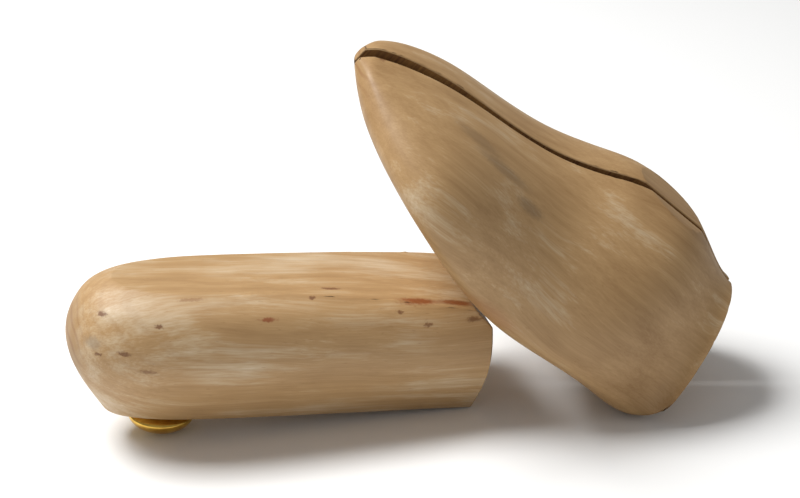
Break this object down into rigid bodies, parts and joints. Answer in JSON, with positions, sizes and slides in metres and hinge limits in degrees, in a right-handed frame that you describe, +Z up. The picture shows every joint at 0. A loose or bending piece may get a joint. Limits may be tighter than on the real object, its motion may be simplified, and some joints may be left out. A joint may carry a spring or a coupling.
{
  "type": "shoe tree",
  "caption": "Two-piece wooden shoe tree for a left shoe: a heel block with a turned brass knob, lying upside down, and a sprung split forepart leaning on it.",
  "frame": {"origin": "centre of the object's bounding box, on the surface that it stands on", "axes": "+Z up; +X from the heel block towards the forepart, the longest extent; +Y away from the forepart's outer side"},
  "size_m": [0.2234, 0.089, 0.1222],
  "materials": {
    "heel_wood": "sanded, unfinished",
    "forepart_wood": "sanded, unfinished",
    "knob_brass": "polished, lacquered",
    "sleeve_brass": "turned",
    "plated_steel": "zinc plated",
    "spring_steel": "drawn wire"
  },
  "bodies": {
    "heel": {"heel_block": "heel_wood", "heel_knob": "knob_brass", "knob_stud": "plated_steel"},
    "forepart": {"forepart_main_half": "forepart_wood", "rear_guide_screw": "plated_steel", "front_guide_screw": "plated_steel", "rear_kerf_spring": "spring_steel", "front_kerf_spring": "spring_steel"},
    "split_half": {"forepart_split_half": "forepart_wood", "rear_guide_sleeve": "sleeve_brass", "front_guide_sleeve": "sleeve_brass"}
  },
  "joints": [
    {"name": "forepart_lift", "type": "slide", "parent": "heel", "child": "forepart", "axis": [0, 0, 1], "range_m": [0, 0.15]},
    {"name": "split_half_close", "type": "slide", "parent": "forepart", "child": "split_half", "axis": [-0.2351, -0.972, 0], "range_m": [0, 0.0023], "stiffness_N_per_m": 6000, "deforming": ["rear_kerf_spring", "front_kerf_spring"]}
  ]
}
